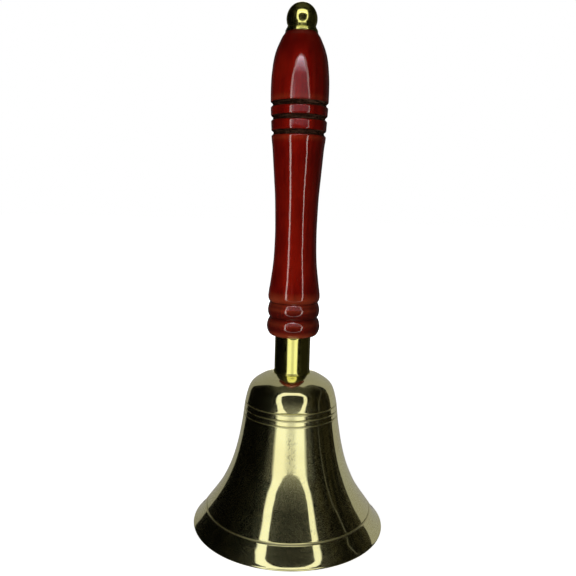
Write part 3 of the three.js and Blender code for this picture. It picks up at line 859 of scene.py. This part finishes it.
def link_point(s):
    """Point at distance s round the link in the YZ plane, from halfway up its +Y side."""
    straight, bend = LINK_TOP - LINK_BOTTOM, math.pi * LINK_R
    if s < straight / 2:
        return 0, LINK_R, LINK_TOP - straight / 2 + s
    s -= straight / 2
    if s < bend:
        angle = s / LINK_R
        return 0, LINK_R * math.cos(angle), LINK_TOP + LINK_R * math.sin(angle)
    s -= bend
    if s < straight:
        return 0, -LINK_R, LINK_TOP - s
    s -= straight
    if s < bend:
        angle = s / LINK_R
        return 0, -LINK_R * math.cos(angle), LINK_BOTTOM - LINK_R * math.sin(angle)
    return 0, LINK_R, LINK_BOTTOM + s - bend


def towards(start, end, share=0.4):
    start, end = np.array(start), np.array(end)
    return tuple(start + (end - start) * share)


link_length = 2 * (LINK_TOP - LINK_BOTTOM) + 2 * math.pi * LINK_R - LINK_GAP
link_path = [link_point(LINK_GAP / 2 + link_length * i / LINK_STEPS)
             for i in range(LINK_STEPS + 1)]
# an extra ring close to each cut end keeps its taper short
link_path = ([link_path[0], towards(link_path[0], link_path[1])] + link_path[1:-1]
             + [towards(link_path[-1], link_path[-2]), link_path[-1]])
link_end_r = LINK_WIRE_R - WIRE_END
link_radii = [link_end_r] + [LINK_WIRE_R] * (len(link_path) - 2) + [link_end_r]
link = make_piece("wire_link", sweep(link_path, link_radii, normal=Vector((1, 0, 0))),
                  "clapper_link", "dark_iron", smooth_angle=50, body="clapper_link")

# ------------------------------------------------------------------ clapper

CLAPPER_EYE_R, CLAPPER_WIRE_R = 3.0, 1.2
EYE_PLAY = 0.08
CLAPPER_EYE_Z = CLAPPER_PIVOT_Z + LINK_WIRE_R + CLAPPER_WIRE_R + EYE_PLAY - CLAPPER_EYE_R
CLAPPER_EYE_BOTTOM = CLAPPER_EYE_Z - CLAPPER_EYE_R
NECK_Z = CLAPPER_EYE_BOTTOM - 2.4
BALL_BORE, SPIGOT_R = 1.66, 1.6
# riveted end under the ball: (r, height from the ball's bottom)
RIVET = [(0.6, -1.05), (1.2, -0.98), (1.8, -0.78), (2.2, -0.45), (2.3, -0.22), (2.25, -0.06),
         (SPIGOT_R, -0.05)]
# collar on the ball: (r, height from the ball's top)
COLLAR = [(SPIGOT_R, 0.05), (2.2, 0.05), (2.3, 0.16), (2.3, 0.75), (2.22, 0.95),
          (1.98, 1.45), (1.92, 2.2)]


def clapper_stem():
    """Stem from the rivet through the ball to the neck under the eye."""
    profile = [(0, BALL_Z0 - 1.05)] + [(r, BALL_Z0 + up) for r, up in RIVET]
    profile += [(SPIGOT_R, BALL_Z0 + 3), (SPIGOT_R, BALL_Z1 - 3)]
    profile += [(r, BALL_Z1 + up) for r, up in COLLAR]
    z = BALL_Z1 + 3.2
    while z < NECK_Z - 0.5:
        profile.append((1.9 + 0.03 * math.sin(z * 1.7), z))
        z += 1.0
    profile += [(1.88, NECK_Z), (1.72, NECK_Z + 0.9), (1.5, NECK_Z + 1.7), (0, NECK_Z + 1.7)]
    return revolve_open(profile, 56)


clapper_eye = eye_wire(
    lead=[(0, 0, CLAPPER_EYE_BOTTOM - 1.4), (0.0, 0, CLAPPER_EYE_BOTTOM - 0.8),
          (0.1, 0, CLAPPER_EYE_BOTTOM - 0.3), (0.34, 0, CLAPPER_EYE_BOTTOM - 0.02)],
    lead_radii=[1.62, 1.5, 1.38, 1.28],
    centre_z=CLAPPER_EYE_Z, eye_r=CLAPPER_EYE_R, wire_r=CLAPPER_WIRE_R, steps=80, up=-1)
shank = make_piece("clapper_rod", joined(clapper_stem(), clapper_eye), "clapper_shank",
                   "dark_iron", smooth_angle=40, body="clapper")


def ball_loop():
    """Ball with flats at top and bottom and a bore for the stem."""
    centre = (BALL_Z0 + BALL_Z1) / 2
    flat_angle = math.asin((BALL_Z1 - BALL_Z0) / 2 / BALL_R)
    flat_r = BALL_R * math.cos(flat_angle) - 0.12
    side = [(BALL_R * math.cos(a), centre + BALL_R * math.sin(a))
            for a in np.linspace(-flat_angle + 0.02, flat_angle - 0.02, 72)]
    return ([(BALL_BORE, BALL_Z0 + 0.15), (1.8, BALL_Z0), (flat_r, BALL_Z0)] + side
            + [(flat_r, BALL_Z1), (1.8, BALL_Z1), (BALL_BORE, BALL_Z1 - 0.15),
               (BALL_BORE, centre)])


def ball_skin(r, z, angle, ring):
    """Shallow dents over the outside."""
    if r <= 3:
        return r, z
    place = Vector((math.cos(angle) * r * 0.8, math.sin(angle) * r * 0.8, z * 0.8))
    return r - 0.02 * abs(noise.noise(place)), z


ball = make_piece("clapper_bob", revolve(ball_loop(), 112, ball_skin), "clapper_ball",
                  "dark_iron", smooth_angle=40, body="clapper")

# ------------------------------------------------------------------ glowing cards

WHITE = (1.0, 0.985, 0.93)
WALL_WHITE = (1.0, 0.97, 0.93)
BAR = 1.3               # strength of the bright window bars
FRONT = -300            # y of the cards in front of the bell; a few mm apart to keep an order
CUP, WOOD = [cup], [handle]
CAP = [finial, finial_washer]
METAL = [cup, ferrule, finial, finial_washer]


def stage_object(name, verts, faces):
    mesh = bpy.data.meshes.new(name)
    mesh.from_pydata(verts, [], faces)
    ob = bpy.data.objects.new(name, mesh)
    bpy.context.scene.collection.objects.link(ob)
    return ob


def curve(graph, position, stops, top):
    """Curve through stops (position in m, value), giving value / top."""
    start, end = stops[0][0], stops[-1][0]
    share = graph.node("MapRange", {0: position, 1: start, 2: end}).outputs[0]
    node = graph.node("FloatCurve", {"Value": share})
    knots = node.mapping.curves[0].points
    while len(knots) < len(stops):
        knots.new(0.5, 0.5)
    for knot, (place, value) in zip(knots, stops):
        knot.location = ((place - start) / (end - start), value / top)
        knot.handle_type = "VECTOR"
    node.mapping.update()
    return node.outputs[0]


def emitter(name, corners, glow, color=WHITE, axis=2, on=None, clear=False, faces=None):
    """A glowing card in m that only reflections see.

    glow is a strength, or stops (position in m, strength) blended along one axis. on lists
    the pieces it shines on, and a clear card adds its glow to whatever lies behind it.
    """
    ob = stage_object(name, corners, faces or [tuple(range(len(corners)))])
    material = bpy.data.materials.new(name)
    graph = new_graph(material)
    output = graph.node("OutputMaterial")
    emission = graph.node("Emission", {0: (*color, 1)})
    if isinstance(glow, list):
        position = graph.split(graph.node("NewGeometry").outputs["Position"])[axis]
        top = max(strength for _, strength in glow)
        share = curve(graph, position, glow, top)
        glow = graph.node("Math", {0: share, 1: top}, operation="MULTIPLY").outputs[0]
    graph.put(emission.inputs[1], glow)
    shader = emission.outputs[0]
    if clear:
        behind = graph.node("BsdfTransparent").outputs[0]
        shader = graph.node("AddShader", {0: shader, 1: behind}).outputs[0]
    graph.put(output.inputs[0], shader)
    ob.data.materials.append(material)
    ob.visible_camera = False
    ob.visible_shadow = False
    ob.visible_diffuse = False
    if on is not None:
        group = bpy.data.collections.new(name + "_on")
        for piece in on:
            group.objects.link(piece)
        ob.light_linking.receiver_collection = group
    return ob


def card(name, outline, y, glow, **options):
    """Upright card from an (x, z) outline in mm."""
    return emitter(name, [(x * MM, y * MM, z * MM) for x, z in outline], glow, **options)


# outer edge of each bar: (z, x)
LEFT_EDGE = [(-60, -168), (20, -186), (50, -180), (80, -174), (115, -200), (140, -226),
             (190, -240), (300, -244), (452, -262)]
RIGHT_EDGE = [(-60, 180), (20, 196), (68, 194), (93, 214), (123, 240), (150, 260),
              (232, 282), (300, 296), (452, 300)]
# inner outline of each bar: (x, z)
LEFT_INNER = [
    (25, 452), (25, 412), (-40, 408), (-80, 385), (-115, 345), (-140, 315), (-152, 270),
    (-146, 240), (-136, 160), (-116, 120), (-90, 92), (-55, 74), (-20, 64), (-20, -60)]
RIGHT_INNER = [
    (40, -60), (40, 64), (75, 68), (111, 76), (140, 93), (163, 118), (185, 140), (200, 200),
    (209, 265), (222, 305), (218, 338), (186, 372), (145, 398), (95, 412), (25, 412),
    (25, 452)]


def bar_card(name, inner, outer):
    """A bar of the bright window: sharp inside, fading across its outer edge."""
    reach = 50                      # mm the card goes on beyond its outer edge
    soft_low, soft_high = 44, 13    # half width of the fade in mm, at the bottom and higher up
    fade_from, fade_to = 0.045, 0.085   # heights in m between which it changes
    curve_top = 400                 # mm that the edge curve's full value stands for
    far = [(x + (reach if x > 0 else -reach), z) for z, x in outer]
    outline = inner + (far[::-1] if outer[0][1] > 0 else far)
    ob = card(name, outline, FRONT, BAR, on=METAL)
    graph = Graph(ob.data.materials[0].node_tree)
    x, _, z = graph.split(graph.node("NewGeometry").outputs["Position"])
    stops = [(height * MM, abs(edge_x)) for height, edge_x in outer]
    edge = curve(graph, z, stops, curve_top)
    off_axis = graph.node("Math", {0: x}, operation="ABSOLUTE").outputs[0]
    beyond = graph.node("Math", {0: edge, 1: -curve_top * MM, 2: off_axis},
                        operation="MULTIPLY_ADD").outputs[0]
    width = graph.node("MapRange", {0: z, 1: fade_from, 2: fade_to, 3: soft_low * MM,
                                    4: soft_high * MM}).outputs[0]
    share = graph.node("Math", {0: beyond, 1: width}, operation="DIVIDE").outputs[0]
    fade = graph.node("MapRange", {0: share, 1: -1.0, 2: 1.0, 3: BAR, 4: 0.0},
                      interpolation_type="SMOOTHSTEP").outputs[0]
    graph.put(graph.tree.nodes["Emission"].inputs[1], fade)


# the bright window in front
bar_card("soft_left", LEFT_INNER, LEFT_EDGE)
bar_card("soft_right", RIGHT_INNER, RIGHT_EDGE)
card("soft_top", [(-235, 455), (290, 455), (290, 1050), (-235, 1050)], y=FRONT, glow=BAR,
     on=[cup, ferrule])
card("cap_top", [(-150, 372), (190, 372), (214, 452), (300, 452), (300, 640), (-262, 640),
                 (-262, 452), (-150, 452)], y=FRONT + 3, glow=BAR, on=CAP, clear=True)
card("soft_low", [(-168, -420), (180, -420), (180, 61), (-168, 61)], y=FRONT + 2,
     glow=[(-0.168, BAR), (-0.06, BAR), (-0.005, 0.86), (0.035, 0.82), (0.085, BAR),
           (0.18, BAR)], axis=0, on=METAL)
card("gap", [(-168, 60), (234, 60), (234, 455), (-168, 455)], y=FRONT - 4,
     glow=[(0.060, 0.34), (0.067, 0.24), (0.078, 0.17), (0.089, 0.15), (0.105, 0.10),
           (0.128, 0.055), (0.154, 0.030), (0.178, 0.016), (0.25, 0.009), (0.455, 0.009)],
     on=METAL)
# faint light well outside the bars
card("spill_left", [(-400, -60), (-400, 92), (-226, 92), (-218, -60)], y=FRONT - 6,
     glow=[(-0.40, 0.0), (-0.33, 0.012), (-0.28, 0.035), (-0.22, 0.07)], axis=0, on=CUP)
card("spill_right", [(228, -60), (250, 92), (430, 92), (430, -60)], y=FRONT - 6,
     glow=[(0.22, 0.08), (0.30, 0.04), (0.36, 0.015), (0.43, 0.0)], axis=0, on=CUP)
# light thrown up into the mouth by the table top: a disc just below it
GLOW_R, GLOW_Z = 0.039, -0.006
emitter("table_glow", [(GLOW_R * math.cos(TAU * k / 40), GLOW_R * math.sin(TAU * k / 40), GLOW_Z)
                       for k in range(40)],
        glow=0.75, on=[cup, nut, spring, rod, link, shank, ball], clear=True)
# the lacquered wood: two thin lines, a gable where they meet, milky light between them
card("wood_left",
     [(-140, -88), (-205, -52), (-234, 0), (-228, 140), (-230, 180), (-214, 240), (-164, 310),
      (-20, 402), (6, 382), (-118, 300), (-166, 235), (-184, 180), (-176, 140), (-176, 0),
      (-152, -36), (-100, -62)], y=FRONT + 4,
     glow=[(-0.088, 1.0), (-0.02, 1.5), (0.06, 3.3), (0.16, 3.3), (0.172, 2.2), (0.27, 2.0),
           (0.35, 1.6), (0.402, 0.9)], on=WOOD, clear=True)
card("wood_left_haze", [(-250, 172), (-120, 172), (-90, 262), (-190, 262)], y=FRONT + 5,
     glow=[(0.172, 0.45), (0.22, 0.5), (0.262, 0.1)], color=(1.0, 0.92, 1.0), on=WOOD,
     clear=True)
card("wood_right",
     [(105, -62), (160, -36), (190, 0), (196, 90), (228, 150), (218, 190), (176, 240),
      (120, 300), (0, 384), (12, 402), (170, 312), (214, 248), (254, 200), (264, 150),
      (238, 90), (232, 0), (205, -52), (145, -88)], y=FRONT + 4,
     glow=[(-0.088, 1.0), (-0.02, 1.5), (0.06, 3.2), (0.16, 3.2), (0.172, 1.5), (0.27, 1.6),
           (0.35, 1.4), (0.402, 0.9)], on=WOOD, clear=True)
card("wood_milk",
     [(-184, 172), (226, 172), (222, 190), (180, 240), (124, 300), (0, 390), (-118, 300),
      (-166, 235), (-184, 180)], y=FRONT + 6,
     glow=[(0.172, 0.33), (0.25, 0.29), (0.285, 0.36), (0.305, 1.1), (0.325, 2.8),
           (0.35, 6.0), (0.362, 3.6), (0.375, 1.3), (0.39, 0.9)],
     color=(1.0, 0.86, 1.0), on=WOOD, clear=True)
card("wood_low", [(-140, -88), (-60, -106), (65, -106), (145, -88), (105, -62), (50, -78),
                  (-45, -78), (-100, -62)], y=FRONT + 7, glow=0.9, on=WOOD, clear=True)
# behind: a pale wall for the cup, a dim one for the other pieces, and a bright window
card("wall",
     [(-330, -120), (640, -120), (640, 250), (352, 385), (330, 640), (380, 1000), (480, 1600),
      (-560, 1600), (-420, 800), (-368, 516), (-335, 200)], y=300,
     glow=[(-0.56, 0.27), (-0.1, 0.33), (0.2, 0.36), (0.64, 0.40)], color=WALL_WHITE, axis=0,
     on=CUP, clear=True)
card("back_wall", [(-330, -120), (500, -120), (500, 480), (-330, 480)], y=304, glow=0.035,
     color=WALL_WHITE, on=[ferrule, finial, finial_washer, handle])
card("back_window", [(-44, -60), (40, -60), (40, 460), (-44, 460)], y=296, glow=1.15)

# a pale cord on the right, seen as a hairline on the cup: (azimuth from -Y, elevation) in
# degrees as seen from CORD_CENTRE
CORD = [(112, 73), (116, 69.5), (119, 64), (121.7, 59.4), (124.5, 54), (125, 48.5), (120, 42),
        (110, 35.5), (99.2, 29.4), (88, 20.5), (77.3, 10.6), (72.5, 3), (70.4, -3.1),
        (68.5, -7), (67.5, -8.2), (66.5, -14), (66, -24)]
CORD_CENTRE = Vector((0, 0, 0.06))
CORD_DISTANCE, CORD_HALF_WIDTH = 0.42, 0.0045


def cord_point(azimuth, elevation):
    a, e = math.radians(azimuth), math.radians(elevation)
    direction = Vector((math.sin(a) * math.cos(e), -math.cos(a) * math.cos(e), math.sin(e)))
    return direction * CORD_DISTANCE + CORD_CENTRE


def build_cord():
    """Thin ribbon along the cord, facing the centre."""
    points = [cord_point(*station) for station in CORD]
    verts, faces = [], []
    for i, here in enumerate(points):
        along = points[min(i + 1, len(points) - 1)] - points[max(i - 1, 0)]
        side = along.cross(here - CORD_CENTRE).normalized() * CORD_HALF_WIDTH
        verts += [tuple(here - side), tuple(here + side)]
        if i:
            faces.append((2 * i - 2, 2 * i - 1, 2 * i + 1, 2 * i))
    emitter("cord", verts, glow=0.12, on=CUP, clear=True, faces=faces)


build_cord()

# ------------------------------------------------------------------ lights


def soft_light(name, location, size, power):
    """Disc light aimed at the middle of the bell, left out of reflections."""
    data = bpy.data.lights.new(name, "AREA")
    data.shape = "DISK"
    data.size = size
    data.energy = power
    ob = bpy.data.objects.new(name, data)
    bpy.context.scene.collection.objects.link(ob)
    ob.location = location
    aim = Vector((0, 0, 0.12)) - Vector(location)
    ob.rotation_euler = aim.to_track_quat("-Z", "Y").to_euler()
    ob.visible_glossy = False


soft_light("key", location=(-0.20, -0.62, 0.24), size=0.30, power=1.5)
soft_light("rear_fill", location=(0.26, 0.62, 0.30), size=0.40, power=1.8)

# ------------------------------------------------------------------ floor

FLOOR_R, FLOOR_SEGS = 4.0, 96
FLOOR_COLOR = (0.90, 0.90, 0.89, 1)
GLOW_NEAR, GLOW_FAR = 0.88, 1.0         # floor glow seen by the camera
GLOW_FROM, GLOW_TO = 0.05, 0.45         # distances in m over which it rises


def build_floor():
    """White floor that brightens away from the bell for the camera."""
    rim = [(math.cos(TAU * k / FLOOR_SEGS) * FLOOR_R, math.sin(TAU * k / FLOOR_SEGS) * FLOOR_R, 0)
           for k in range(FLOOR_SEGS)]
    floor = stage_object("floor", rim, [tuple(range(FLOOR_SEGS))])
    floor.visible_glossy = False
    material = bpy.data.materials.new("floor")
    graph = new_graph(material)
    output = graph.node("OutputMaterial")
    diffuse = graph.node("BsdfDiffuse", {0: FLOOR_COLOR}).outputs[0]
    to_camera = graph.node("LightPath").outputs["Is Camera Ray"]
    geometry = graph.node("NewGeometry").outputs
    distance = graph.node("VectorMath", {0: geometry["Position"]}, operation="LENGTH")
    glow = graph.node("MapRange", {0: distance.outputs["Value"], 1: GLOW_FROM, 2: GLOW_TO,
                                   3: GLOW_NEAR, 4: GLOW_FAR},
                      interpolation_type="SMOOTHSTEP").outputs[0]
    glow = graph.node("Math", {0: to_camera, 1: glow}, operation="MULTIPLY").outputs[0]
    emission = graph.node("Emission", {1: glow}).outputs[0]
    above = graph.node("AddShader", {0: diffuse, 1: emission}).outputs[0]
    # from below the floor is clear, so that the inside of the bell can be seen
    below = graph.node("BsdfTransparent").outputs[0]
    sides = graph.node("MixShader", {0: geometry["Backfacing"], 1: above, 2: below})
    graph.put(output.inputs[0], sides.outputs[0])
    floor.data.materials.append(material)


build_floor()

# ------------------------------------------------------------------ world

AMBIENT = 0.04
ROOM_DARK, ROOM_SHAPE = (0.0008, 0.0008, 0.0006, 1), (0.028, 0.024, 0.012, 1)
ROOM_CEILING = (0.050, 0.050, 0.038, 1)


def build_world():
    """White for the camera, faint light for the pieces, and a dark room in reflections."""
    world = bpy.data.worlds.new("studio")
    bpy.context.scene.world = world
    graph = new_graph(world)
    output = graph.node("OutputWorld")
    ray = graph.node("LightPath").outputs
    direction = graph.node("TexCoord").outputs["Generated"]
    x, _, z = graph.split(direction)
    # the room: nearly black to the left, faint tall shapes to the right, paler overhead
    side = graph.node("MapRange", {0: x, 1: -0.5, 2: 0.9, 3: 0.12, 4: 1.0}).outputs[0]
    tall = graph.node("Mapping", {"Vector": direction, "Scale": (7.0, 7.0, 1.1)}).outputs[0]
    shapes = graph.node("TexNoise", {"Vector": tall, "Scale": 1.0, "Detail": 3.0})
    sharp = graph.node("MapRange", {0: shapes.outputs["Fac"], 1: 0.46, 2: 0.66,
                                    3: 0.10, 4: 1.0}).outputs[0]
    amount = graph.node("Math", {0: side, 1: sharp}, operation="MULTIPLY").outputs[0]
    room = graph.node("Mix", {0: amount, 6: ROOM_DARK, 7: ROOM_SHAPE},
                      data_type="RGBA").outputs[2]
    overhead = graph.node("MapRange", {0: z, 1: 0.80, 2: 0.97}).outputs[0]
    room = graph.node("Mix", {0: overhead, 6: room, 7: ROOM_CEILING},
                      data_type="RGBA").outputs[2]
    reflected = graph.node("Background", {0: room}).outputs[0]
    seen = graph.node("Background", {0: (1, 1, 1, 1)}).outputs[0]
    ambient = graph.node("Background", {0: (1, 1, 1, 1), 1: AMBIENT}).outputs[0]
    lit = graph.node("MixShader", {0: ray["Is Glossy Ray"], 1: ambient, 2: reflected})
    final = graph.node("MixShader", {0: ray["Is Camera Ray"], 1: lit.outputs[0], 2: seen})
    graph.put(output.inputs[0], final.outputs[0])


build_world()

# ------------------------------------------------------------------ camera

SENSOR_WIDTH, LENS = 36.0, 39.9875      # mm
CAMERA_PLACE = (0, -0.2665, 0.1398)
YAW, PITCH, ROLL = 0.0098, -0.137, 0.028    # radians, from looking along +Y


def build_camera():
    data = bpy.data.cameras.new("camera")
    camera = bpy.data.objects.new("camera", data)
    bpy.context.scene.collection.objects.link(camera)
    data.sensor_width = SENSOR_WIDTH
    data.lens = LENS
    data.clip_start = 0.01
    data.clip_end = 50
    turn = Matrix.Rotation(YAW, 3, "Z") @ Matrix.Rotation(PITCH, 3, "X")
    forward, right, up = (turn @ Vector(v) for v in ((0, 1, 0), (1, 0, 0), (0, 0, 1)))
    rolled_right = math.cos(ROLL) * right + math.sin(ROLL) * up
    rolled_up = -math.sin(ROLL) * right + math.cos(ROLL) * up
    pose = Matrix((rolled_right, rolled_up, -forward)).transposed().to_4x4()
    pose.translation = Vector(CAMERA_PLACE)
    camera.matrix_world = pose
    bpy.context.scene.camera = camera


build_camera()
bpy.context.scene.view_settings.view_transform = "Standard"
bpy.context.scene.view_settings.look = "None"
